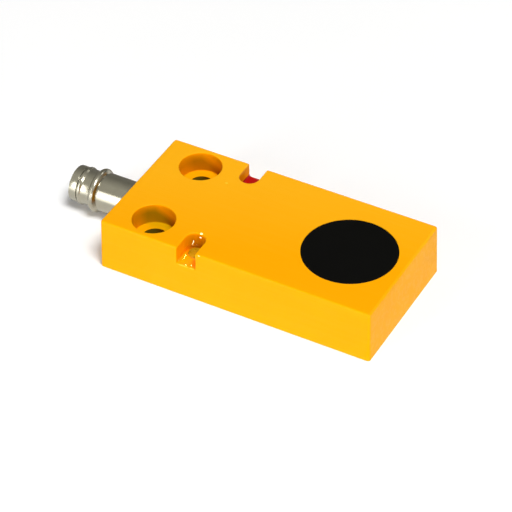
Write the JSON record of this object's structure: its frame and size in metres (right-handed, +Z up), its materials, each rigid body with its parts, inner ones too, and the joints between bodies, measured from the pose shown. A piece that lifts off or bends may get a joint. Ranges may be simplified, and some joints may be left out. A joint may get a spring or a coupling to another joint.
{
  "type": "inductive proximity sensor",
  "caption": "Flat rectangular inductive proximity sensor with a flush round active face, counterbored screw holes, indicator notches in its sides and a round snap-fit connector.",
  "frame": {"origin": "on the mounting plane, midway between the axes of the two screw holes", "axes": "+X along the body towards the active face, with the connector pointing along -X; +Z up, the way the active face looks"},
  "size_m": [0.0637, 0.026, 0.01],
  "materials": {
    "yellow_paint": "satin stoved paint on die-cast zinc",
    "black_plastic": "fine matt moulded face",
    "nickel": "turned and nickel plated",
    "red_resin": "translucent cast resin",
    "clear_resin": "clear cast resin",
    "ferrite": "sintered grey-black",
    "bobbin_plastic": "natural moulded",
    "copper": "enamelled wire",
    "solder": "tin solder",
    "board_laminate": "glass-fibre laminate with green mask",
    "chip_plastic": "moulded package",
    "tinned_metal": "tinned legs",
    "capacitor_ceramic": "fired ceramic",
    "resistor_ceramic": "glazed film on ceramic",
    "red_lens": "red package",
    "amber_lens": "pale package",
    "carrier_plastic": "black moulded insulator",
    "gold_contact": "gold plated contact",
    "potting_resin": "black cast resin"
  },
  "bodies": {
    "root": {"housing": "yellow_paint", "active_face_cap": "black_plastic", "connector_sleeve": "nickel", "red_led_window": "red_resin", "clear_led_window": "clear_resin", "ferrite_core": "ferrite", "coil_bobbin": "bobbin_plastic", "coil_winding": "copper", "coil_leads": "copper", "coil_solder_joints": "solder", "circuit_board": "board_laminate", "sensor_chip": "chip_plastic", "sensor_chip_legs": "tinned_metal", "output_transistors": "chip_plastic", "transistor_legs": "tinned_metal", "protection_diodes": "chip_plastic", "diode_tabs": "tinned_metal", "ceramic_capacitors": "capacitor_ceramic", "chip_resistors": "resistor_ceramic", "red_led": "red_lens", "amber_led": "amber_lens", "pin_carrier": "carrier_plastic", "contact_pin_1": "gold_contact", "contact_pin_2": "gold_contact", "contact_pin_3": "gold_contact", "pin_solder_joints": "solder", "potting_compound": "potting_resin"}
  },
  "joints": []
}
